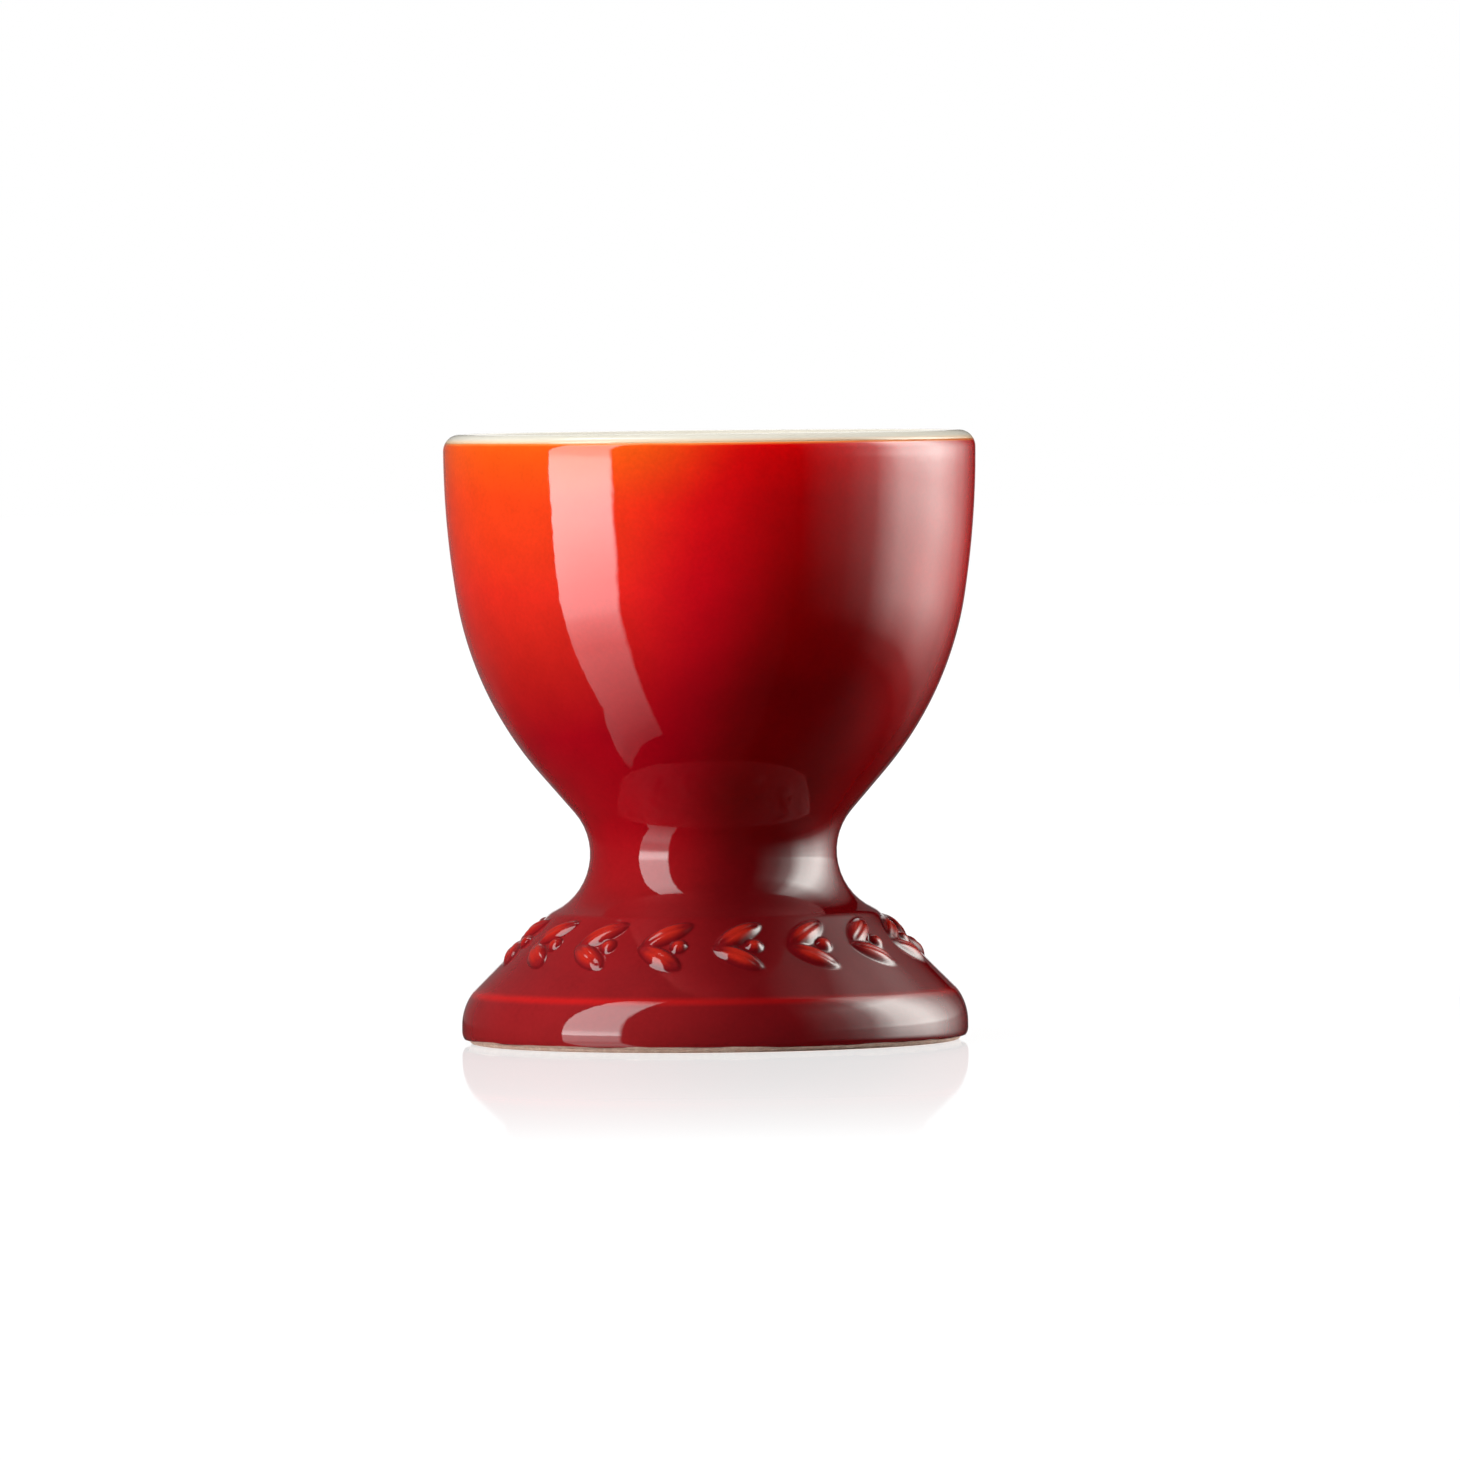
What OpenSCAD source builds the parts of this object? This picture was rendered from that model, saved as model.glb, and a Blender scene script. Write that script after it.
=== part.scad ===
// Footed egg cup in glazed stoneware, standing on its foot with its axis along +Z.
// Every turned outline is a chain of circular arcs and the straight lines that join them.
// A skin at depth g below the glazed surface keeps the same centres: bulging arcs lose g, hollow arcs gain it.

/* [Cup] */
// Height from the table to the top of the lip
cup_h = 58; // [52:0.5:64]
// Outer diameter of the rim
rim_d = 50.7; // [45:0.1:56]
// Thickness of the wall, glaze included, and so of the rounded lip
wall = 3.2; // [2.6:0.1:3.8]

/* [Bowl] */
// Radius of the long, nearly upright arc below the rim
side_r = 86; // [70:1:110]
// Height of that arc
side_h = 14.1; // [11:0.1:17]
// Straight length between the round of the bowl and the stem
flare_l = 4.8; // [3:0.1:7]
// Height of the bowl's inside bottom above the waist
bottom_up = 4; // [3:0.1:8]
// How far the inside turns before its bottom arc takes over, in degrees
bottom_turn = 34; // [28:1:45]
// Thickness of clay between the bowl's inside and the seat on the foot
floor_t = 3.2; // [2.4:0.1:4]

/* [Stem] */
// Diameter of the waist
waist_d = 23.5; // [21:0.1:26]
// Height of the waist above the table
waist_h = 18; // [16:0.1:21]
// Radius of the hollow curve round the waist
waist_r = 6; // [5:0.1:7]
// How far the hollow curve turns below the waist, in degrees
waist_turn = 65; // [58:1:72]
// Radius of the soft shoulder where the stem meets the foot's slope
shoulder_r = 2; // [1:0.1:3]

/* [Foot] */
// Widest diameter of the foot
foot_d = 48.2; // [44:0.1:52]
// Height of the widest line
foot_wide_h = 1.7; // [1.4:0.1:2.2]
// How far the crisp edge above the foot band lies inside the widest line
ridge_in = 1.1; // [0.8:0.05:2]
// Height of that edge
ridge_h = 4.9; // [4:0.1:5.6]
// Radius of the heel, which turns in under the foot band
heel_r = 1.25; // [1:0.05:1.5]
// Height of the heel's centre
heel_h = 1.15; // [1.05:0.05:1.35]
// How far the bare standing ring lies inside the widest line
ring_set = 0.7; // [0.5:0.05:1.2]
// Width of the standing ring
ring_w = 3.9; // [3:0.1:4.6]
// Rounding of the standing ring's two edges
ring_round = 0.4; // [0.2:0.05:0.55]
// Thickness of clay between the seat and the hollow under the foot
web_t = 3.4; // [2.4:0.1:6]
// Radius of the dome that closes the hollow
dome_r = 8; // [5:0.5:9]

/* [Glaze] */
// Thickness of each coat of glaze
glaze_t = 0.4; // [0.3:0.05:0.6]
// Height of the outer coat's lower edge above the table
glaze_line_h = 0.45; // [0.4:0.05:0.7]
// How far below the top of the lip the two coats meet on the outside
lip_border_h = 0.8; // [0.4:0.05:1.1]
// Height above the table where the coat in the hollow stops
recess_line_h = 1; // [0.7:0.1:2]

/* [Wreath] */
// Pairs of leaves round the foot, each pair with a berry
leaf_pairs = 16; // [10:1:18]
// Length of a leaf
leaf_l = 5.4; // [4:0.1:6]
// Width of a leaf
leaf_w = 2.2; // [1.4:0.1:2.3]
// How far a leaf's back stands above the slope
leaf_rise = 0.6; // [0.35:0.05:0.8]
// Angle between a leaf and the line round the foot, in degrees
leaf_tilt = 32; // [25:1:40]
// Diameter of a berry where it meets the slope
berry_d = 1.7; // [1:0.1:1.8]
// How far a berry stands above the slope
berry_rise = 0.5; // [0.3:0.05:0.6]
// Distance from the root of a pair of leaves to its berry, round the foot
berry_on = 3.8; // [3:0.1:5]
// Distance of the wreath's middle from the crisp edge, up the slope
wreath_up = 6.8; // [6:0.1:7.2]

/* [Hidden] */
$fn = 96;
// How far the middle of a chord may lie inside its arc
chord_gap = 0.012;
// How far a cut runs past what it cuts
overrun = 1;

// Unit vector at an angle in the plane of the outline, radius first and height second
function unit(a) = [cos(a), sin(a)];
// Points along an arc about c from angle a to angle b
function arc(c, r, a, b) =
    let (steps = max(1, ceil(abs(b - a) / (2 * acos(1 - chord_gap / r)))))
    [for (i = [0:steps]) c + r * unit(a + (b - a) * i / steps)];
// Same points, last one first
function reversed(points) = [for (i = [len(points) - 1:-1:0]) points[i]];

// Lip: half a circle across the wall, upright on both sides
lip_r = wall / 2;
lip_c = [rim_d / 2 - lip_r, cup_h - lip_r];
border_a = asin((lip_r - lip_border_h) / lip_r);

// Side: the long arc starts upright at the lip and turns in by side_a
side_a = asin(side_h / side_r);
side_c = [rim_d / 2 - side_r, cup_h - lip_r];
side_end = side_c + side_r * unit(-side_a);

// Waist: hollow curve round a point outside the stem
waist_c = [waist_d / 2 + waist_r, waist_h];

// Round of the bowl: leaves the side arc smoothly and, after flare_l of straight line, meets the waist curve
to_waist = waist_c - side_end;
round_r = (to_waist * to_waist - waist_r ^ 2 - flare_l ^ 2) / (2 * (waist_r - to_waist * unit(-side_a)));
round_c = side_end - round_r * unit(-side_a);
round_a = atan2(round_c.y - waist_c.y, waist_c.x - round_c.x) - atan2(flare_l, round_r + waist_r);

// Inside: the side arc one wall further in, then two arcs that reach the axis level at the bottom
bottom_h = waist_h + bottom_up;
in_end = side_end - wall * unit(-side_a);
in_fall = in_end.y - bottom_h;
side_step = [cos(side_a) - cos(bottom_turn), sin(bottom_turn) - sin(side_a)];
base_step = [cos(bottom_turn), 1 - sin(bottom_turn)];
cross_step = side_step.x * base_step.y - base_step.x * side_step.y;
in_round_r = (in_end.x * base_step.y - in_fall * base_step.x) / cross_step;
bottom_r = (in_fall * side_step.x - in_end.x * side_step.y) / cross_step;
in_round_c = in_end - in_round_r * unit(-side_a);
bottom_c = [0, bottom_h + bottom_r];

// Shoulder and slope: the slope runs from the crisp edge and touches the shoulder's circle
shoulder_c = waist_c - (waist_r + shoulder_r) * unit(waist_turn);
ridge = [foot_d / 2 - ridge_in, ridge_h];
to_ridge = ridge - shoulder_c;
slope_a = atan2(to_ridge.y, to_ridge.x) + acos(shoulder_r / norm(to_ridge));

// Foot band: bulges from the crisp edge to the widest line
band_out = foot_d / 2 - ridge.x;
band_up = ridge.y - foot_wide_h;
band_r = (band_out ^ 2 + band_up ^ 2) / (2 * band_out);
band_c = [foot_d / 2 - band_r, foot_wide_h];
band_a = asin(band_up / band_r);

// Heel and standing ring
heel_c = [foot_d / 2 - heel_r, heel_h];
heel_a = asin((heel_h - glaze_line_h) / heel_r);
ring_out = foot_d / 2 - ring_set;
ring_out_c = [ring_out - ring_round, ring_round];
ring_in_c = [ring_out - ring_w + ring_round, ring_round];

// Seat: the bowl's round underside on the stem, from the axis to where the waist curve starts
seat_h = bottom_h - glaze_t - floor_t;
seat_edge = waist_c - (waist_r + glaze_t) * unit(-round_a);
seat_up = seat_edge.y - seat_h;
seat_r = (seat_edge.x ^ 2 + seat_up ^ 2) / (2 * seat_up);
seat_c = [0, seat_h + seat_r];
seat_a = asin(seat_edge.x / seat_r);

// Hollow under the foot: a cone from the ring's inner edge that touches the dome
dome_c = [0, seat_h - web_t - dome_r];
hollow_edge = ring_in_c - [ring_round, 0];
to_edge = hollow_edge - dome_c;
hollow_a = atan2(to_edge.y, to_edge.x) + acos(dome_r / norm(to_edge));
hollow_line = hollow_edge + (recess_line_h - hollow_edge.y) / cos(hollow_a) * unit(hollow_a + 90);

// Outline stretches at depth g below the glazed surface, each from the top down
function lip(g, from) = concat(
    arc(lip_c, lip_r - g, from, 90),
    arc(lip_c, lip_r - g, 90, 180));
function outer_bowl(g) = concat(
    arc(side_c, side_r - g, 0, -side_a),
    arc(round_c, round_r - g, -side_a, -round_a));
function stem(g) = concat(
    arc(waist_c, waist_r + g, 180 - round_a, 180 + waist_turn),
    arc(shoulder_c, shoulder_r - g, waist_turn, slope_a));
function foot_band(g) = concat(
    arc(band_c, band_r - g, band_a, 0),
    arc(heel_c, heel_r - g, 0, -heel_a));
function inner_bowl(g) = concat(
    arc(side_c, side_r - wall + g, 0, -side_a),
    arc(in_round_c, in_round_r + g, -side_a, -bottom_turn),
    arc(bottom_c, bottom_r + g, -bottom_turn, -90));
function seat() = arc(seat_c, seat_r, -90, seat_a - 90);
// Hollow, from its foot up to the axis
function hollow(g) = concat(
    [hollow_line - g * unit(hollow_a)],
    arc(dome_c, dome_r - g, hollow_a, 90));

// Bodies of revolution
module turned(points) rotate_extrude() polygon(points);

// Ball radius that gives a cap its width and rise
function cap_r(w, rise) = ((w / 2) ^ 2 + rise ^ 2) / (2 * rise);

// Moves children onto the slope's clay, s up from the crisp edge and d round the foot from angle a.
// There x points down the slope, y round the foot and z out of it.
module on_slope(a, s, d) {
    place = ridge - glaze_t * unit(slope_a) + s * unit(slope_a + 90);
    rotate(a + d / place.x * 180 / PI)
    translate([place.x, 0, place.y])
    rotate([0, 90 - slope_a, 0])
    children();
}

// Leaf as a spindle laid along y, sunk until its length, width and rise above the slope are right
module leaf(coat) {
    girth_r = cap_r(leaf_w, leaf_rise);
    back_r = cap_r(leaf_l, leaf_rise);
    translate([0, 0, leaf_rise - girth_r])
    rotate([90, 0, 0])
    rotate_extrude()
    intersection() {
        translate([girth_r - back_r, 0]) circle(back_r + coat);
        translate([0, -back_r]) square(2 * back_r);
    }
}

// Berry as a ball sunk in the slope
module berry(coat) {
    ball_r = cap_r(berry_d, berry_rise);
    translate([0, 0, berry_rise - ball_r]) sphere(ball_r + coat);
}

// Wreath of leaves in pairs with a berry in each fork, grown outwards by the coat that covers it
module wreath(coat) {
    for (i = [0:leaf_pairs - 1]) {
        turn = i * 360 / leaf_pairs;
        for (side = [-1, 1])
            on_slope(turn, wreath_up + side * leaf_l / 2 * sin(leaf_tilt), leaf_l / 2 * cos(leaf_tilt))
            rotate(side * leaf_tilt)
            leaf(coat);
        on_slope(turn, wreath_up, berry_on) berry(coat);
    }
}

// Stoneware of the bowl, from the lip to its round underside
module bowl() {
    color("tan")
    turned(concat(
        lip(glaze_t, 0),
        inner_bowl(glaze_t),
        seat(),
        reversed(outer_bowl(glaze_t))));
}

// Stoneware of the stem and foot, with the wreath and the hollow
module foot() {
    color("burlywood")
    difference() {
        union() {
            turned(concat(
                seat(),
                stem(glaze_t),
                foot_band(glaze_t),
                arc(ring_out_c, ring_round, 0, -90),
                [[0, 0]]));
            wreath(0);
        }
        turned(concat(
            [[0, -overrun], [ring_in_c.x, -overrun]],
            arc(ring_in_c, ring_round, -90, -180),
            hollow(0)));
    }
}

// Red coat over the outside, from the border on the lip to the line above the standing ring
module outer_glaze() {
    color("firebrick")
    difference() {
        union() {
            turned(concat(
                [[0, heel_c.y], [0, lip_c.y], lip_c],
                arc(lip_c, lip_r, border_a, 0),
                outer_bowl(0),
                stem(0),
                foot_band(0),
                [heel_c]));
            wreath(glaze_t);
        }
        turned(concat(
            [[0, -overrun], [0, cup_h + overrun], [lip_c.x, cup_h + overrun]],
            arc(lip_c, lip_r - glaze_t, 90, 0),
            outer_bowl(glaze_t),
            stem(glaze_t),
            foot_band(glaze_t),
            arc(ring_out_c, ring_round, 0, -90),
            [[ring_out_c.x, -overrun]]));
        wreath(0);
    }
}

// Cream coat inside the bowl and over the lip
module liner_glaze() {
    color("ivory")
    turned(concat(
        lip(0, border_a),
        inner_bowl(0),
        reversed(inner_bowl(glaze_t)),
        reversed(lip(glaze_t, border_a))));
}

// Red coat in the hollow under the foot
module recess_glaze() {
    color("darkred")
    turned(concat(hollow(0), reversed(hollow(glaze_t))));
}

bowl();
foot();
outer_glaze();
liner_glaze();
recess_glaze();
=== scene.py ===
import math

import bpy
from mathutils import Matrix, Vector


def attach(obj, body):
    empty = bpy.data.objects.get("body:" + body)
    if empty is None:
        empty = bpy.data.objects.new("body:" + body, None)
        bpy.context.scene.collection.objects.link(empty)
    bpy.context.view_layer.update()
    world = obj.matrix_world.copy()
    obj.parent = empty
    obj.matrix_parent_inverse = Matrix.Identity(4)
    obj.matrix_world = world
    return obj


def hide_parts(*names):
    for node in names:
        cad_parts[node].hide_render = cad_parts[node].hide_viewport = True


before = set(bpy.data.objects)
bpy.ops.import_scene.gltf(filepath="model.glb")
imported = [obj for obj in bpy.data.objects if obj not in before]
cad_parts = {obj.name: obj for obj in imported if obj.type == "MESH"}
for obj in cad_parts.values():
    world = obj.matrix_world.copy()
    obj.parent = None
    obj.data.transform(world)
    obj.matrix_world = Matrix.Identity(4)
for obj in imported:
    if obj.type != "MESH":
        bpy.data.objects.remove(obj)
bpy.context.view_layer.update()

# Sizes of the cup, in millimetres and degrees
MM = 0.001  # in metres
CUP_H, RIM_D, WALL = 58.0, 50.7, 3.2
SIDE_R, SIDE_H, FLARE_L = 86.0, 14.1, 4.8
BOTTOM_UP, BOTTOM_TURN = 4.0, 34.0
WAIST_D, WAIST_H, WAIST_R, WAIST_TURN, SHOULDER_R = 23.5, 18.0, 6.0, 65.0, 2.0
FOOT_D, FOOT_WIDE_H, RIDGE_IN, RIDGE_H = 48.2, 1.7, 1.1, 4.9
HEEL_R, HEEL_H, RING_SET, RING_W, RING_ROUND = 1.25, 1.15, 0.7, 3.9, 0.4
FLOOR_T, WEB_T, DOME_R = 3.2, 3.4, 8.0
GLAZE_T, GLAZE_LINE_H, LIP_BORDER_H, RECESS_LINE_H = 0.4, 0.45, 0.8, 1.0
LEAF_PAIRS, LEAF_L, LEAF_W, LEAF_RISE, LEAF_TILT = 16, 5.4, 2.2, 0.6, 32.0
BERRY_D, BERRY_RISE, BERRY_ON, WREATH_UP = 1.7, 0.5, 3.8, 6.8
LEAF_SOFT, VEIN_DEPTH = 0.14, 0.13
VEIN_HALF_WIDTH = 0.16  # of the leaf's width
VEIN_FADE = (0.62, 0.86)  # where a vein runs out, from the leaf's middle to its tip
LEAST_STEP = 0.004  # points of an outline closer than this count as one
SEAM = 0.002  # points of a turned body closer than this merge, which closes its seam and its poles


# Outline of the cup: points are radius and height
def unit(a):
    return Vector((math.cos(math.radians(a)), math.sin(math.radians(a))))


def arc(c, r, a, b, steps):
    return [c + r * unit(a + (b - a) * i / steps) for i in range(steps + 1)]


def line(p, q, steps):
    return [p + (q - p) * i / steps for i in range(steps + 1)]


def angle(v):
    return math.degrees(math.atan2(v.y, v.x))


lip_r = WALL / 2
lip_c = Vector((RIM_D / 2 - lip_r, CUP_H - lip_r))
border_a = math.degrees(math.asin((lip_r - LIP_BORDER_H) / lip_r))
side_a = math.degrees(math.asin(SIDE_H / SIDE_R))
side_c = Vector((RIM_D / 2 - SIDE_R, CUP_H - lip_r))
side_end = side_c + SIDE_R * unit(-side_a)
waist_c = Vector((WAIST_D / 2 + WAIST_R, WAIST_H))
to_waist = waist_c - side_end
round_r = (to_waist.dot(to_waist) - WAIST_R ** 2 - FLARE_L ** 2) \
    / (2 * (WAIST_R - to_waist.dot(unit(-side_a))))
round_c = side_end - round_r * unit(-side_a)
round_a = angle(Vector((waist_c.x - round_c.x, round_c.y - waist_c.y))) \
    - math.degrees(math.atan2(FLARE_L, round_r + WAIST_R))
bottom_h = WAIST_H + BOTTOM_UP
in_end = side_end - WALL * unit(-side_a)
in_fall = in_end.y - bottom_h
side_step = Vector((unit(side_a).x - unit(BOTTOM_TURN).x, unit(BOTTOM_TURN).y - unit(side_a).y))
base_step = Vector((unit(BOTTOM_TURN).x, 1 - unit(BOTTOM_TURN).y))
cross_step = side_step.x * base_step.y - base_step.x * side_step.y
in_round_r = (in_end.x * base_step.y - in_fall * base_step.x) / cross_step
bottom_r = (in_fall * side_step.x - in_end.x * side_step.y) / cross_step
in_round_c = in_end - in_round_r * unit(-side_a)
bottom_c = Vector((0, bottom_h + bottom_r))
shoulder_c = waist_c - (WAIST_R + SHOULDER_R) * unit(WAIST_TURN)
ridge = Vector((FOOT_D / 2 - RIDGE_IN, RIDGE_H))
to_ridge = ridge - shoulder_c
slope_a = angle(to_ridge) + math.degrees(math.acos(SHOULDER_R / to_ridge.length))
slope_top = shoulder_c + SHOULDER_R * unit(slope_a)
band_out, band_up = RIDGE_IN, RIDGE_H - FOOT_WIDE_H
band_r = (band_out ** 2 + band_up ** 2) / (2 * band_out)
band_c = Vector((FOOT_D / 2 - band_r, FOOT_WIDE_H))
band_a = math.degrees(math.asin(band_up / band_r))
heel_c = Vector((FOOT_D / 2 - HEEL_R, HEEL_H))
heel_a = math.degrees(math.asin((HEEL_H - GLAZE_LINE_H) / HEEL_R))
ring_out = FOOT_D / 2 - RING_SET
ring_out_c = Vector((ring_out - RING_ROUND, RING_ROUND))
ring_in_c = Vector((ring_out - RING_W + RING_ROUND, RING_ROUND))
seat_h = bottom_h - GLAZE_T - FLOOR_T
seat_edge = waist_c - (WAIST_R + GLAZE_T) * unit(-round_a)
seat_up = seat_edge.y - seat_h
seat_r = (seat_edge.x ** 2 + seat_up ** 2) / (2 * seat_up)
seat_c = Vector((0, seat_h + seat_r))
seat_a = math.degrees(math.asin(seat_edge.x / seat_r))
dome_c = Vector((0, seat_h - WEB_T - DOME_R))
hollow_edge = ring_in_c - Vector((RING_ROUND, 0))
to_edge = hollow_edge - dome_c
hollow_a = angle(to_edge) + math.degrees(math.acos(DOME_R / to_edge.length))
hollow_line = hollow_edge + (RECESS_LINE_H - hollow_edge.y) / unit(hollow_a).x * unit(hollow_a + 90)


# Stretches of outline, from the top down, at depth g under the glazed surface
def outer_bowl(g, fine):
    return arc(side_c, SIDE_R - g, 0, -side_a, 9 * fine) \
        + arc(round_c, round_r - g, -side_a, -round_a, 14 * fine)


def stem(g, fine):
    return arc(waist_c, WAIST_R + g, 180 - round_a, 180 + WAIST_TURN, 7 * fine) \
        + arc(shoulder_c, SHOULDER_R - g, WAIST_TURN, slope_a, fine + 1)


def foot_band(g, fine):
    return arc(band_c, band_r - g, band_a, 0, 4 * fine) + arc(heel_c, HEEL_R - g, 0, -heel_a, 2 * fine)


def inner_bowl(g, fine):
    return arc(side_c, SIDE_R - WALL + g, 0, -side_a, 8 * fine) \
        + arc(in_round_c, in_round_r + g, -side_a, -BOTTOM_TURN, 8 * fine) \
        + arc(bottom_c, bottom_r + g, -BOTTOM_TURN, -90, 10 * fine)


def hollow(g, fine):
    return [hollow_line - g * unit(hollow_a)] + arc(dome_c, DOME_R - g, hollow_a, 90, 6 * fine)


# Node trees
def put(tree, kind, inputs=None, **settings):
    """Adds a node; inputs maps a socket's name or number to a value or to another node's output."""
    node = tree.nodes.new(kind)
    for name, value in settings.items():
        setattr(node, name, value)
    for key, value in (inputs or {}).items():
        if isinstance(value, bpy.types.NodeSocket):
            tree.links.new(value, node.inputs[key])
        else:
            node.inputs[key].default_value = value
    return node


def calc(tree, operation, *values):
    return put(tree, "ShaderNodeMath", dict(enumerate(values)), operation=operation).outputs[0]


def inverse(tree, share):
    return calc(tree, "SUBTRACT", 1, share)


def ranged(tree, value, low, high, to_low=0.0, to_high=1.0, curve="LINEAR"):
    """Maps low..high to to_low..to_high and holds the value at their ends."""
    node = put(tree, "ShaderNodeMapRange", {"Value": value, "From Min": low, "From Max": high,
                                            "To Min": to_low, "To Max": to_high}, interpolation_type=curve)
    return node.outputs["Result"]


def smooth_step(tree, value, low, high):
    return ranged(tree, value, low, high, curve="SMOOTHSTEP")


def split(tree, vector):
    return put(tree, "ShaderNodeSeparateXYZ", {0: vector}).outputs


def joined(tree, x, y, z):
    return put(tree, "ShaderNodeCombineXYZ", {"X": x, "Y": y, "Z": z}).outputs[0]


def radius_of(tree, place):
    """Distance from the cup's axis of a place that is given by its X, Y and Z sockets."""
    squares = [calc(tree, "MULTIPLY", place[axis], place[axis]) for axis in ("X", "Y")]
    return calc(tree, "SQRT", calc(tree, "ADD", *squares))


def scaled(tree, vector, value):
    return put(tree, "ShaderNodeVectorMath", {0: vector, "Scale": value}, operation="SCALE").outputs[0]


def noise(tree, position, scale, detail):
    node = put(tree, "ShaderNodeTexNoise", {"Vector": position, "Scale": scale, "Detail": detail})
    return node.outputs["Fac"]


def group(name, kind, inputs, outputs):
    """Starts a node group with named sockets; inputs are (name, type, value), outputs are (name, type)."""
    tree = bpy.data.node_groups.new(name, kind)
    for label, socket, value in inputs:
        item = tree.interface.new_socket(label, in_out="INPUT", socket_type=socket)
        if value is not None:
            item.default_value = value
    for label, socket in outputs:
        tree.interface.new_socket(label, in_out="OUTPUT", socket_type=socket)
    return tree, tree.nodes.new("NodeGroupInput").outputs, tree.nodes.new("NodeGroupOutput")


FLOAT, INTEGER, GEOMETRY, VECTOR, MATERIAL = (
    "NodeSocketFloat", "NodeSocketInt", "NodeSocketGeometry", "NodeSocketVector", "NodeSocketMaterial")


# Turning an outline into a body
def turning_group():
    """Turns the outline's points about the axis and closes the seam and the poles."""
    tree, given, result = group(
        "turn_outline", "GeometryNodeTree", [("Outline", GEOMETRY, None), ("Segments", INTEGER, 360)],
        [("Body", GEOMETRY)])
    rows = put(tree, "GeometryNodeAttributeDomainSize", {"Geometry": given["Outline"]}).outputs["Point Count"]
    grid = put(tree, "GeometryNodeMeshGrid", {"Vertices X": calc(tree, "ADD", given["Segments"], 1),
                                              "Vertices Y": rows})
    index = put(tree, "GeometryNodeInputIndex").outputs[0]
    column = calc(tree, "FLOOR", calc(tree, "DIVIDE", index, rows))
    row = calc(tree, "MODULO", index, rows)
    turn = calc(tree, "MULTIPLY", calc(tree, "DIVIDE", column, given["Segments"]), 2 * math.pi)
    point = put(tree, "GeometryNodeSampleIndex",
                {"Geometry": given["Outline"], "Value": put(tree, "GeometryNodeInputPosition").outputs[0],
                 "Index": row}, data_type="FLOAT_VECTOR")
    along = split(tree, point.outputs[0])
    place = joined(tree, calc(tree, "MULTIPLY", along["X"], calc(tree, "COSINE", turn)),
                   calc(tree, "MULTIPLY", along["X"], calc(tree, "SINE", turn)), along["Z"])
    body = put(tree, "GeometryNodeSetPosition", {"Geometry": grid.outputs["Mesh"], "Position": place})
    body = put(tree, "GeometryNodeMergeByDistance", {"Geometry": body.outputs[0], "Distance": SEAM * MM})
    body = put(tree, "GeometryNodeSetShadeSmooth", {"Geometry": body.outputs[0]})
    tree.links.new(body.outputs[0], result.inputs["Body"])
    return tree


def cap_group():
    """Height of a sunk spindle over the surface: Across and Along are measured from its middle."""
    tree, given, result = group(
        "spindle_height", "GeometryNodeTree",
        [("Across", FLOAT, 0), ("Along", FLOAT, 0), ("Width", FLOAT, 1), ("Length", FLOAT, 1),
         ("Rise", FLOAT, 1)], [("Height", FLOAT)])

    def cap(size):
        half = calc(tree, "POWER", calc(tree, "MULTIPLY", size, 0.5), 2)
        return calc(tree, "DIVIDE", calc(tree, "ADD", half, calc(tree, "POWER", given["Rise"], 2)),
                    calc(tree, "MULTIPLY", given["Rise"], 2))

    def chord(r, x):
        rest = calc(tree, "SUBTRACT", calc(tree, "MULTIPLY", r, r), calc(tree, "MULTIPLY", x, x))
        return calc(tree, "SQRT", calc(tree, "MAXIMUM", rest, 0))

    girth, back = cap(given["Width"]), cap(given["Length"])
    here = calc(tree, "SUBTRACT", calc(tree, "ADD", girth, chord(back, given["Along"])), back)
    top = chord(calc(tree, "MAXIMUM", here, 0), given["Across"])
    height = calc(tree, "SUBTRACT", top, calc(tree, "SUBTRACT", girth, given["Rise"]))
    tree.links.new(height, result.inputs["Height"])
    return tree


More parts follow.
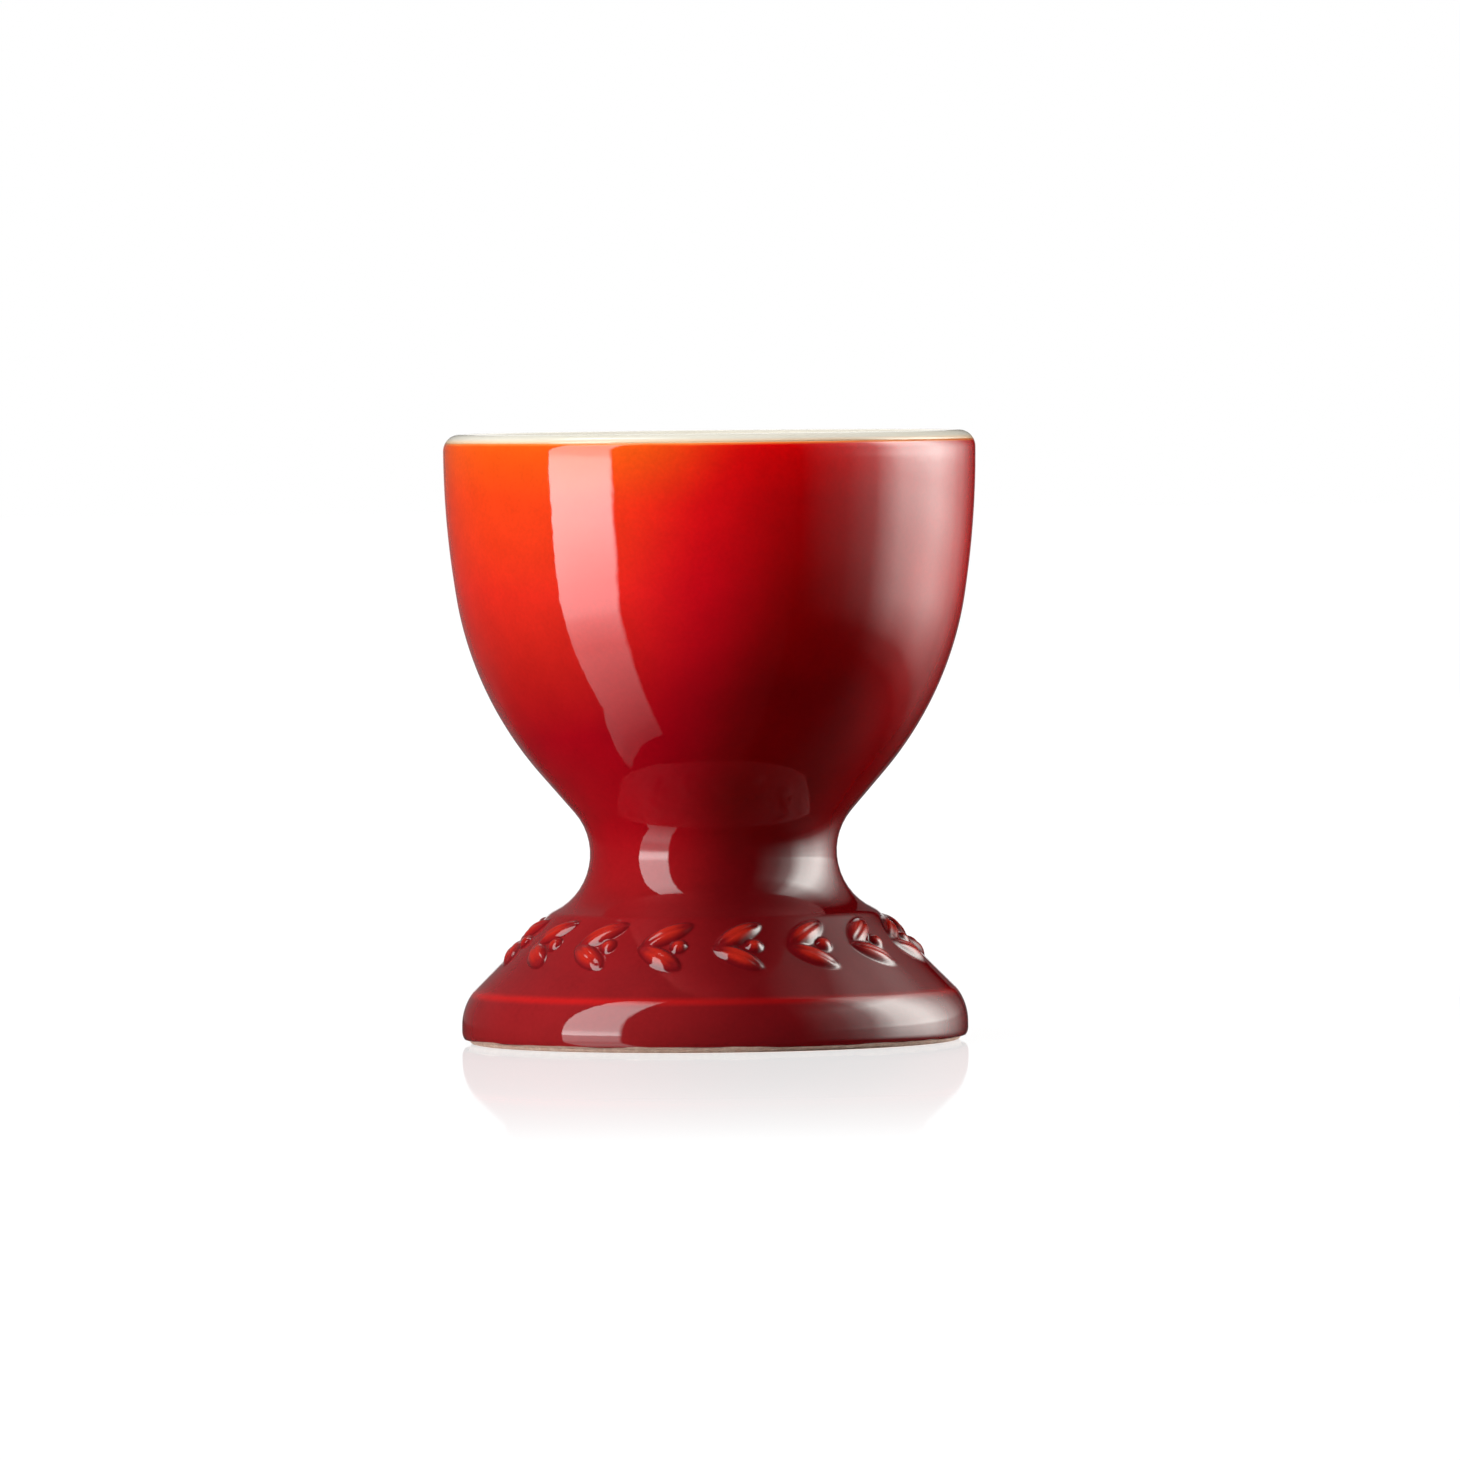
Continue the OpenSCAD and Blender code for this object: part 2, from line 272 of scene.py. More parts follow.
def wreath_group(cap):
    """Raises pairs of leaves and berries from the foot's slope and stores how high each point stands."""
    sizes = [("Pairs", INTEGER, 16), ("Leaf Length", FLOAT, 5), ("Leaf Width", FLOAT, 2),
             ("Leaf Rise", FLOAT, 0.5), ("Leaf Tilt", FLOAT, 0.5), ("Berry Width", FLOAT, 1.5),
             ("Berry Rise", FLOAT, 0.5), ("Berry On", FLOAT, 3.6), ("Middle", FLOAT, 6.8),
             ("Softness", FLOAT, 0.1), ("Vein Depth", FLOAT, 0.1), ("Ridge Radius", FLOAT, 23),
             ("Ridge Height", FLOAT, 5), ("Slope Turn", FLOAT, 0.8)]
    tree, given, result = group("raise_wreath", "GeometryNodeTree", [("Body", GEOMETRY, None)] + sizes,
                                [("Body", GEOMETRY)])
    place = split(tree, put(tree, "GeometryNodeInputPosition").outputs[0])
    radius = radius_of(tree, place)
    lean, climb = calc(tree, "COSINE", given["Slope Turn"]), calc(tree, "SINE", given["Slope Turn"])
    out = calc(tree, "SUBTRACT", radius, given["Ridge Radius"])
    rise = calc(tree, "SUBTRACT", place["Z"], given["Ridge Height"])
    up = calc(tree, "SUBTRACT", calc(tree, "MULTIPLY", rise, lean), calc(tree, "MULTIPLY", out, climb))
    off = calc(tree, "ADD", calc(tree, "MULTIPLY", out, lean), calc(tree, "MULTIPLY", rise, climb))
    turn = calc(tree, "ARCTAN2", place["Y"], place["X"])
    sector = calc(tree, "DIVIDE", 2 * math.pi, given["Pairs"])

    def around(shift, at_radius):
        """Distance round the foot from the nearest repeat of a place that lies shift past a pair's root."""
        centre = calc(tree, "DIVIDE", shift, at_radius)
        angle_off = calc(tree, "SUBTRACT", turn, centre)
        return calc(tree, "MULTIPLY", calc(tree, "WRAP", angle_off, calc(tree, "MULTIPLY", sector, 0.5),
                                           calc(tree, "MULTIPLY", sector, -0.5)), radius)

    def spindle(across, along, width, length, rise):
        inputs = {"Across": across, "Along": along, "Width": width, "Length": length, "Rise": rise}
        return put(tree, "GeometryNodeGroup", inputs, node_tree=cap).outputs["Height"]

    half = calc(tree, "MULTIPLY", given["Leaf Length"], 0.5)
    heights = []
    for side in (-1, 1):
        tilt = calc(tree, "MULTIPLY", given["Leaf Tilt"], side)
        cos, sin = calc(tree, "COSINE", tilt), calc(tree, "SINE", tilt)
        middle = calc(tree, "MULTIPLY_ADD", half, sin, given["Middle"])
        at = calc(tree, "SUBTRACT", given["Ridge Radius"], calc(tree, "MULTIPLY", middle, climb))
        down = calc(tree, "SUBTRACT", middle, up)
        beside = around(calc(tree, "MULTIPLY", half, cos), at)
        across = calc(tree, "ADD", calc(tree, "MULTIPLY", down, cos), calc(tree, "MULTIPLY", beside, sin))
        along = calc(tree, "SUBTRACT", calc(tree, "MULTIPLY", beside, cos), calc(tree, "MULTIPLY", down, sin))
        leaf = spindle(across, along, given["Leaf Width"], given["Leaf Length"], given["Leaf Rise"])
        vein = calc(tree, "MULTIPLY", given["Leaf Width"], VEIN_HALF_WIDTH)
        groove = inverse(tree, smooth_step(
            tree, calc(tree, "DIVIDE", calc(tree, "ABSOLUTE", across), vein), 0, 1))
        within = inverse(tree, smooth_step(
            tree, calc(tree, "DIVIDE", calc(tree, "ABSOLUTE", along), half), *VEIN_FADE))
        cut = calc(tree, "MULTIPLY", calc(tree, "MULTIPLY", groove, within), given["Vein Depth"])
        heights.append(calc(tree, "SUBTRACT", leaf, cut))
    at = calc(tree, "SUBTRACT", given["Ridge Radius"], calc(tree, "MULTIPLY", given["Middle"], climb))
    heights.append(spindle(calc(tree, "SUBTRACT", given["Middle"], up), around(given["Berry On"], at),
                           given["Berry Width"], given["Berry Width"], given["Berry Rise"]))
    height = heights[0]
    for other in heights[1:] + [0.0]:
        height = calc(tree, "SMOOTH_MAX", height, other, given["Softness"])
    on_slope = calc(tree, "COMPARE", off, 0, calc(tree, "MULTIPLY", given["Softness"], 1.5))
    height = calc(tree, "MULTIPLY", height, on_slope)
    outward = joined(tree, calc(tree, "MULTIPLY", calc(tree, "COSINE", turn), lean),
                     calc(tree, "MULTIPLY", calc(tree, "SINE", turn), lean), climb)
    raised = put(tree, "GeometryNodeStoreNamedAttribute", {
        "Geometry": given["Body"], "Name": "relief",
        "Value": calc(tree, "DIVIDE", height, given["Leaf Rise"])}, data_type="FLOAT", domain="POINT")
    raised = put(tree, "GeometryNodeSetPosition", {"Geometry": raised.outputs[0],
                                                   "Offset": scaled(tree, outward, height)})
    tree.links.new(raised.outputs[0], result.inputs["Body"])
    return tree


turn_outline = turning_group()
raise_wreath = wreath_group(cap_group())

WREATH_SIZES = {
    "Pairs": LEAF_PAIRS, "Leaf Length": LEAF_L * MM, "Leaf Width": LEAF_W * MM, "Leaf Rise": LEAF_RISE * MM,
    "Leaf Tilt": math.radians(LEAF_TILT), "Berry Width": BERRY_D * MM, "Berry Rise": BERRY_RISE * MM,
    "Berry On": BERRY_ON * MM, "Middle": WREATH_UP * MM, "Softness": LEAF_SOFT * MM,
    "Vein Depth": VEIN_DEPTH * MM, "Ridge Radius": ridge.x * MM, "Ridge Height": ridge.y * MM,
    "Slope Turn": math.radians(slope_a)}


def turned(name, points, segments, finish, wreath=False):
    """A finished mesh piece turned from an outline in millimetres.

    Its faces point outwards where the outline runs up the piece's outer side.
    """
    steps = [p for i, p in enumerate(points) if i == 0 or (p - points[i - 1]).length > LEAST_STEP]
    mesh = bpy.data.meshes.new(name + "_outline")
    edges = [(i, i + 1) for i in range(len(steps) - 1)]
    mesh.from_pydata([(p.x * MM, 0, p.y * MM) for p in steps], edges, [])
    rough = bpy.data.objects.new(name + "_outline", mesh)
    bpy.context.collection.objects.link(rough)
    sizes = {"Segments": segments, **(WREATH_SIZES if wreath else {})}
    inputs = [("Outline", GEOMETRY, None), ("Material", MATERIAL, None)]
    inputs += [(label, INTEGER if isinstance(value, int) else FLOAT, value) for label, value in sizes.items()]
    tree, given, result = group("make_" + name, "GeometryNodeTree", inputs, [("Body", GEOMETRY)])
    body = put(tree, "GeometryNodeGroup", {label: given[label] for label in ("Outline", "Segments")},
               node_tree=turn_outline)
    if wreath:
        body = put(tree, "GeometryNodeGroup", {"Body": body.outputs["Body"],
                                               **{label: given[label] for label in WREATH_SIZES}},
                   node_tree=raise_wreath)
    body = put(tree, "GeometryNodeRealizeInstances", {0: body.outputs["Body"]})
    body = put(tree, "GeometryNodeSetMaterial", {"Geometry": body.outputs[0], "Material": given["Material"]})
    tree.links.new(body.outputs[0], result.inputs["Body"])
    modifier = rough.modifiers.new("turn", "NODES")
    modifier.node_group = tree
    for item in tree.interface.items_tree:
        if item.in_out == "INPUT" and item.name in sizes:
            modifier[item.identifier] = sizes[item.name]
        elif item.in_out == "INPUT" and item.name == "Material":
            modifier[item.identifier] = finish
    solid = bpy.data.meshes.new_from_object(rough.evaluated_get(bpy.context.evaluated_depsgraph_get()))
    rough.modifiers.remove(modifier)
    bpy.data.objects.remove(rough)
    solid.name = name
    piece = bpy.data.objects.new(name, solid)
    bpy.context.collection.objects.link(piece)
    return piece


# Shared effects of the finishes
def speckle_group():
    """Fine mottling of a sprayed glaze: a mask of small darker and lighter grains."""
    tree, given, result = group(
        "glaze_speckle", "ShaderNodeTree",
        [("Position", VECTOR, None), ("Grain", FLOAT, 2600), ("Strength", FLOAT, 0.1)], [("Shade", FLOAT)])
    fine = noise(tree, given["Position"], given["Grain"], 2.0)
    broad = noise(tree, given["Position"], calc(tree, "MULTIPLY", given["Grain"], 0.12), 3.0)
    mixed = calc(tree, "SUBTRACT", calc(tree, "ADD", fine, broad), 1)
    shade = calc(tree, "ADD", 1, calc(tree, "MULTIPLY", mixed, given["Strength"]))
    tree.links.new(shade, result.inputs["Shade"])
    return tree


def wavy_line_group():
    """Mask above a hand-dipped line: 0 under it, 1 over it, with the line wandering round the cup."""
    tree, given, result = group(
        "wavy_line", "ShaderNodeTree",
        [("Position", VECTOR, None), ("Level", FLOAT, 0), ("Wander", FLOAT, 0.0002), ("Wave", FLOAT, 120),
         ("Softness", FLOAT, 0.0001)], [("Over", FLOAT)])
    wave = noise(tree, given["Position"], given["Wave"], 3.0)
    height = split(tree, given["Position"])["Z"]
    sway = calc(tree, "MULTIPLY", calc(tree, "SUBTRACT", wave, 0.5), given["Wander"])
    past = calc(tree, "SUBTRACT", calc(tree, "ADD", height, sway), given["Level"])
    over = calc(tree, "ADD", calc(tree, "DIVIDE", past, given["Softness"]), 0.5)
    tree.links.new(smooth_step(tree, over, 0, 1), result.inputs["Over"])
    return tree


def glaze_skin_group():
    """Height of a fired glaze's skin: a slow swell and a very fine peel."""
    tree, given, result = group("glaze_skin", "ShaderNodeTree",
                                [("Position", VECTOR, None), ("Swell", FLOAT, 90), ("Peel", FLOAT, 900)],
                                [("Height", FLOAT)])
    swell = noise(tree, given["Position"], given["Swell"], 1.0)
    peel = noise(tree, given["Position"], given["Peel"], 1.0)
    height = calc(tree, "MULTIPLY_ADD", peel, 0.05, swell)
    tree.links.new(height, result.inputs["Height"])
    return tree


speckle, wavy_line, glaze_skin = speckle_group(), wavy_line_group(), glaze_skin_group()


def use(tree, shared, **inputs):
    return put(tree, "ShaderNodeGroup", inputs, node_tree=shared).outputs[0]


def material(name):
    """A new material, its node tree and the object coordinates in it."""
    made = bpy.data.materials.new(name)
    made.use_nodes = True
    made.node_tree.nodes.clear()
    tree = made.node_tree
    return made, tree, put(tree, "ShaderNodeTexCoord").outputs["Object"]


def finish_surface(tree, shader):
    put(tree, "ShaderNodeOutputMaterial", {"Surface": shader.outputs[0]})


def mix(tree, factor, low, high, blend="MIX"):
    """Mixes two colours, each a triple or a node's output."""
    node = put(tree, "ShaderNodeMix", data_type="RGBA", blend_type=blend)
    for socket, value in ((node.inputs[0], factor), (node.inputs[6], low), (node.inputs[7], high)):
        if isinstance(value, bpy.types.NodeSocket):
            tree.links.new(value, socket)
        else:
            socket.default_value = (*value, 1) if isinstance(value, tuple) and len(value) == 3 else value
    return node.outputs[2]


def ramp(tree, factor, stops):
    """Colour along a ramp; stops are (place, colour)."""
    node = put(tree, "ShaderNodeValToRGB", {"Fac": factor})
    band = node.color_ramp.elements
    band.remove(band[1])
    band[0].position, band[0].color = stops[0][0], (*stops[0][1], 1)
    for place, colour in stops[1:]:
        band.new(place).color = (*colour, 1)
    return node.outputs["Color"]


# Finishes

# Heights in the red glaze run from the table at 0 to the lip at 1, and sides from 1, on the key light's side
# where the red carries painted light, to -1, where it carries painted shade. Relief is 0 on the bare slope
# and
# 1 on a leaf's top. A pair of these says where an effect begins and where it is full.
CLAY_DARK, CLAY_PALE = (0.80, 0.54, 0.42), (0.92, 0.70, 0.57)
CREAM_DEEP, CREAM_PALE, CREAM_EDGE = (0.74, 0.70, 0.58), (0.77, 0.73, 0.63), (0.90, 0.58, 0.33)
RECESS_DEEP, RECESS_PALE = (0.30, 0.006, 0.012), (0.42, 0.010, 0.016)
GATHERED_RED, THIN_RED = (0.10, 0.002, 0.005), (0.70, 0.03, 0.012)
LIP_YELLOW, LIP_CREAM = (0.93, 0.30, 0.06), (0.92, 0.66, 0.38)
# The next three ramps run by height and paint the key light's shading into the red: for the shaded side, for
# the lit side, which turns orange near the lip, and for the far shaded side.
PAINTED_SHADE_RED = [(0.0, (0.16, 0.005, 0.007)), (0.28, (0.155, 0.002, 0.004)), (0.40, (0.125, 0.001, 0.001)),
            (0.58, (0.135, 0.001, 0.001)), (0.75, (0.28, 0.001, 0.001)), (0.895, (0.48, 0.002, 0.002)),
            (0.94, (0.65, 0.003, 0.002)), (0.98, (0.82, 0.005, 0.002))]
PAINTED_LIT_RED = [(0.0, (0.30, 0.014, 0.016)), (0.12, (0.27, 0.011, 0.014)), (0.26, (0.36, 0.009, 0.012)),
            (0.36, (0.38, 0.003, 0.008)), (0.50, (0.37, 0.002, 0.008)), (0.62, (0.51, 0.012, 0.009)),
            (0.75, (0.74, 0.024, 0.011)), (0.90, (0.86, 0.055, 0.008)), (1.0, (0.88, 0.105, 0.006))]
PAINTED_FAR_SHADE_RED = [(0.0, (0.16, 0.005, 0.007)), (0.28, (0.18, 0.002, 0.004)), (0.48, (0.21, 0.002, 0.002)),
           (0.63, (0.35, 0.002, 0.002)), (0.76, (0.53, 0.003, 0.002)), (0.98, (0.50, 0.004, 0.002))]
# The first factor takes the yellow out of the red where it is in painted shade.
SHADE_NO_YELLOW, THIN_TINT = (1.0, 0.1, 1.0), (1.0, 0.5, 0.4)
PAINTED_LIGHT_FROM = (-0.86, -0.51)  # the key light's side, where the red's painted light and painted orange are strongest, in X and Y
# Sides where painted light takes over from painted shade, where the far painted shade sets in, and where the
# painted orange is kept.
PAINTED_LIT_SIDE, PAINTED_FAR_SHADE_SIDE, PAINTED_ORANGE_SIDE = (0.13, 0.8), (-0.05, -0.45), (0.5, 1.0)
# How far round the painted light and the painted orange reach past those sides: two heights and what is added
# at each
PAINTED_LIT_REACH, PAINTED_ORANGE_REACH = (0.42, 0.74, -0.17, 0.0), (0.885, 0.975, 0.0, 0.2)
YELLOW_ENDS = (0.3, 0.55)
GATHER_RISE, GATHER_FALL, GATHER_SHARE = (0.0, 0.06), (0.12, 0.4), 0.55
THIN_RISE, THIN_SHARE = (0.35, 0.95), 0.6
CREST_DOWN, CREST_WIDTH, CREST_IN, CREST_SHARE = 0.1, 0.55, 1.2, 0.85
YELLOW_DOWN, YELLOW_SHARE, CREAM_LINE_DOWN = 0.16, 0.75, 0.01
EDGE_WIDTH, EDGE_SHARE = 0.45, 0.9
BARE_CLAY_H, RECESS_LINE_UP = 0.5, 0.25
GLAZE_IOR = 1.58
CLAY_ROUGH, RED_ROUGH, RECESS_ROUGH, CREAM_ROUGH = 0.7, 0.04, 0.1, 0.07
MIRRORED_ROUGH = 0.7


def clay_colour(tree, position):
    grain = noise(tree, position, 1500.0, 4.0)
    return scaled(tree, mix(tree, smooth_step(tree, grain, 0.35, 0.7), CLAY_DARK, CLAY_PALE),
                  use(tree, speckle, Position=position, Grain=4200.0, Strength=0.25))


def stoneware():
    made, tree, position = material("fired_stoneware")
    bump = put(tree, "ShaderNodeBump", {"Strength": 0.5, "Distance": 0.12 * MM,
                                        "Height": noise(tree, position, 2600.0, 5.0)})
    finish_surface(tree, put(tree, "ShaderNodeBsdfPrincipled", {
        "Base Color": clay_colour(tree, position), "Roughness": 0.82, "Normal": bump.outputs[0],
        "Specular IOR Level": 0.35}))
    return made


def glaze_shader(tree, colour, roughness, position, swell):
    skin = use(tree, glaze_skin, Position=position)
    bump = put(tree, "ShaderNodeBump", {"Strength": swell, "Distance": 0.3 * MM, "Height": skin})
    finish_surface(tree, put(tree, "ShaderNodeBsdfPrincipled", {
        "Base Color": colour, "Roughness": roughness, "Normal": bump.outputs[0], "IOR": GLAZE_IOR}))


def red_with_painted_light(tree, position, place, radius):
    """Red that runs from cherry at the foot to orange at the lip, with painted light and shade: lighter and
    orange on the key light's side, darker in painted shade away from it.
    """
    drift = noise(tree, position, 42.0, 2.0)
    sway = calc(tree, "MULTIPLY", calc(tree, "SUBTRACT", drift, 0.5), 0.06)
    level = calc(tree, "ADD", calc(tree, "DIVIDE", place["Z"], CUP_H * MM), sway)
    # How far a point faces the key light's side; this sets where the red carries painted light and where it
    # carries painted shade.
    facing = calc(tree, "ADD", calc(tree, "MULTIPLY", place["X"], PAINTED_LIGHT_FROM[0]),
                  calc(tree, "MULTIPLY", place["Y"], PAINTED_LIGHT_FROM[1]))
    side = calc(tree, "ADD", calc(tree, "DIVIDE", facing, calc(tree, "MAXIMUM", radius, 1 * MM)),
                calc(tree, "MULTIPLY", sway, 2.0))
    # Share of painted light over painted shade; it reaches less far round lower down.
    share = smooth_step(tree, calc(tree, "ADD", side, ranged(tree, level, *PAINTED_LIT_REACH)), *PAINTED_LIT_SIDE)
    # Ramps of painted shade, of the far side's painted shade and of painted light, each by height.
    painted_shade, far, painted_lit = (ramp(tree, level, stops) for stops in (PAINTED_SHADE_RED, PAINTED_FAR_SHADE_RED, PAINTED_LIT_RED))
    colour = mix(tree, share, mix(tree, smooth_step(tree, side, *PAINTED_FAR_SHADE_SIDE), painted_shade, far), painted_lit)
    # The painted orange of the lit side reaches furthest round near the lip. Where it is missing above the
    # waist, in painted shade, the red loses its yellow.
    orange = smooth_step(tree, calc(tree, "ADD", side, ranged(tree, level, *PAINTED_ORANGE_REACH)), *PAINTED_ORANGE_SIDE)
    orange = calc(tree, "MAXIMUM", orange, inverse(tree, smooth_step(tree, level, *YELLOW_ENDS)))
    return mix(tree, orange, mix(tree, 1.0, colour, SHADE_NO_YELLOW, "MULTIPLY"), colour)


def thin_and_gathered(tree, colour, place, radius, relief):
    """Glaze runs off the raised leaves and gathers round them, and is thin along the foot's crisp edge."""
    gathered = calc(tree, "MULTIPLY", smooth_step(tree, relief, *GATHER_RISE),
                    inverse(tree, smooth_step(tree, relief, *GATHER_FALL)))
    colour = mix(tree, calc(tree, "MULTIPLY", gathered, GATHER_SHARE), colour, GATHERED_RED)
    thin = calc(tree, "MULTIPLY", smooth_step(tree, relief, *THIN_RISE), THIN_SHARE)
    colour = mix(tree, thin, colour, THIN_RED)
    crest = calc(tree, "ABSOLUTE", calc(tree, "SUBTRACT", place["Z"], (RIDGE_H - CREST_DOWN) * MM))
    crest = inverse(tree, smooth_step(tree, crest, 0.0, CREST_WIDTH * MM))
    crest = calc(tree, "MULTIPLY", crest, calc(tree, "GREATER_THAN", radius, (ridge.x - CREST_IN) * MM))
    return mix(tree, calc(tree, "MULTIPLY", crest, CREST_SHARE), colour,
               mix(tree, 1.0, scaled(tree, colour, 2.0), THIN_TINT, "MULTIPLY"))


def red_glaze():
    made, tree, position = material("shaded_red_glaze")
    place = split(tree, position)
    radius = radius_of(tree, place)
    # Where the cup mirrors itself, the mirrored glaze is soft and plain, so that the wreath leaves no hard
    # picture in the bowl.
    mirrored = put(tree, "ShaderNodeLightPath").outputs["Is Glossy Ray"]
    relief = calc(tree, "MULTIPLY", put(tree, "ShaderNodeAttribute", attribute_name="relief").outputs["Fac"],
                  inverse(tree, mirrored))
    colour = thin_and_gathered(tree, red_with_painted_light(tree, position, place, radius), place, radius, relief)
    colour = scaled(tree, colour, use(tree, speckle, Position=position, Strength=0.22))
    # A yellow line where the red meets the cream, and the bare clay line at the bottom.
    border = CUP_H - LIP_BORDER_H
    near_lip = use(tree, wavy_line, Position=position, Level=(border - YELLOW_DOWN) * MM, Wander=0.2 * MM,
                   Wave=150.0, Softness=0.3 * MM)
    colour = mix(tree, calc(tree, "MULTIPLY", near_lip, YELLOW_SHARE), colour, LIP_YELLOW)
    at_lip = use(tree, wavy_line, Position=position, Level=(border - CREAM_LINE_DOWN) * MM, Wander=0.12 * MM,
                 Wave=150.0, Softness=0.08 * MM)
    colour = mix(tree, at_lip, colour, LIP_CREAM)
    covered = use(tree, wavy_line, Position=position, Level=BARE_CLAY_H * MM, Wander=0.6 * MM, Wave=110.0,
                  Softness=0.14 * MM)
    colour = mix(tree, covered, clay_colour(tree, position), colour)
    roughness = calc(tree, "MULTIPLY_ADD", covered, RED_ROUGH - CLAY_ROUGH, CLAY_ROUGH)
    roughness = calc(tree, "MAXIMUM", roughness, calc(tree, "MULTIPLY", mirrored, MIRRORED_ROUGH))
    glaze_shader(tree, colour, roughness, position, 0.35)
    return made


def cream_glaze():
    made, tree, position = material("cream_glaze")
    cloud = noise(tree, position, 60.0, 2.0)
    colour = mix(tree, smooth_step(tree, cloud, 0.3, 0.7), CREAM_DEEP, CREAM_PALE)
    place = split(tree, position)
    border = CUP_H - LIP_BORDER_H
    edge = smooth_step(tree, place["Z"], (border + EDGE_WIDTH) * MM, border * MM)
    edge = calc(tree, "MULTIPLY", edge, calc(tree, "GREATER_THAN", radius_of(tree, place), lip_c.x * MM))
    colour = mix(tree, calc(tree, "MULTIPLY", edge, EDGE_SHARE), colour, CREAM_EDGE)
    colour = scaled(tree, colour, use(tree, speckle, Position=position, Grain=1700.0, Strength=0.05))
    glaze_shader(tree, colour, CREAM_ROUGH, position, 0.3)
    return made


def dark_red_glaze():
    made, tree, position = material("dark_red_glaze")
    cloud = noise(tree, position, 110.0, 3.0)
    colour = mix(tree, smooth_step(tree, cloud, 0.3, 0.75), RECESS_DEEP, RECESS_PALE)
    covered = use(tree, wavy_line, Position=position, Level=(RECESS_LINE_H + RECESS_LINE_UP) * MM,
                  Wander=0.6 * MM, Wave=120.0, Softness=0.15 * MM)
    colour = mix(tree, covered, clay_colour(tree, position), colour)
    colour = scaled(tree, colour, use(tree, speckle, Position=position, Strength=0.2))
    roughness = calc(tree, "MULTIPLY_ADD", covered, RECESS_ROUGH - CLAY_ROUGH, CLAY_ROUGH)
    glaze_shader(tree, colour, roughness, position, 0.4)
    return made


clay, red, cream, dark_red = stoneware(), red_glaze(), cream_glaze(), dark_red_glaze()

# Pieces
ROWS_ON_SLOPE = 56
CREST_ROUND = 0.06  # how far the crest's softening reaches to each side of it

lip_outer = arc(lip_c, lip_r, border_a, 0, 4)
coat = (lip_outer + outer_bowl(0, 2) + stem(0, 2) + line(slope_top, ridge, ROWS_ON_SLOPE)[1:-1]
        + [ridge + CREST_ROUND * unit(slope_a + 90), ridge - CREST_ROUND * unit(band_a + 90)]
        + foot_band(0, 2)[1:])
glaze_foot = heel_c + (HEEL_R - GLAZE_T) * unit(-heel_a)
coat += [heel_c + (HEEL_R - GLAZE_T / 2) * unit(-heel_a - 2), glaze_foot]
coat += foot_band(GLAZE_T, 1)[::-1][1:] + stem(GLAZE_T, 1)[::-1] + outer_bowl(GLAZE_T, 1)[::-1]
coat += arc(lip_c, lip_r - GLAZE_T, 0, border_a, 3) + [coat[0]]
outer_coat = turned("outer_coat", coat[::-1], 720, red, wreath=True)

cup_inside = arc(lip_c, lip_r, border_a, 90, 7) + arc(lip_c, lip_r, 90, 180, 9) + inner_bowl(0, 2)
under_liner = arc(lip_c, lip_r - GLAZE_T, border_a, 180, 8) + inner_bowl(GLAZE_T, 1)
# This outline runs down the liner's outer side, so its faces point into the glaze.
liner_coat = turned("liner_coat", cup_inside[::-1] + under_liner, 480, cream)

recess_coat = turned("recess_coat", (hollow(0, 2)[::-1] + hollow(GLAZE_T, 1))[::-1], 360, dark_red)

clay_points = [Vector((0, seat_h))] + arc(seat_c, seat_r, -90, seat_a - 90, 12) + stem(GLAZE_T, 1) \
    + foot_band(GLAZE_T, 2) + arc(ring_out_c, RING_ROUND, 0, -90, 4) \
    + arc(ring_in_c, RING_ROUND, -90, -180, 4) + [hollow_edge] + hollow(0, 1)
foot_clay = turned("foot_clay", clay_points[::-1], 480, clay)

for piece, node, slot in (
        (outer_coat, "outer_glaze", "red_glaze"), (liner_coat, "liner_glaze", "cream_glaze"),
        (recess_coat, "recess_glaze", "dark_red_glaze"), (foot_clay, "foot", "stoneware")):
    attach(piece, "root")
    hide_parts(node)
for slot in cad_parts["bowl"].material_slots:
    slot.material = clay


# Floor, light and camera

# Azimuth 0 is the front and + is to the right. Distances are in metres and angles in degrees.
WHITE = (1, 1, 1, 1)
CARD_GRID, CARD_AWAY, LAMP_AWAY = 48, 0.9, 0.9
STRIP_BACK, STRIP_FRONT, STRIP_KNEE, STRIP_WIDENS = -72.7, -42, -44, 1.5
FAN_SPREAD = 0.34
LEAN_SIDE = (80, 110)  # azimuths over which a leaning card takes up its lean

# The floor lies just under the foot's ring, so that they don't share a face. Away from the cup it mirrors
# less and shows whiter. The shade that it shows is darker than the one that it throws back at the cup.
FLOOR_HALF, FLOOR_DOWN = 4, 0.03 * MM
FLOOR_MIRROR, MIRROR_FALL, MIRROR_ENDS, MIRROR_ROUGH = 0.365, 2.2, (0.024, 0.178), 0.04
FLOOR_WHITE, WHITE_ENDS = (0.93, 1.0), (0.25, 1.1)
FLOOR_SHADE, FLOOR_BOUNCE, RING_GLOW = 0.09, 0.6, 0.8
# Its mat: distances, and X over distance, between which it sets in, and the share that it lets through
MAT_ENDS, MAT_SIDE, MAT_LET = (0.14, 0.08), (-0.1, -0.4), 0.33

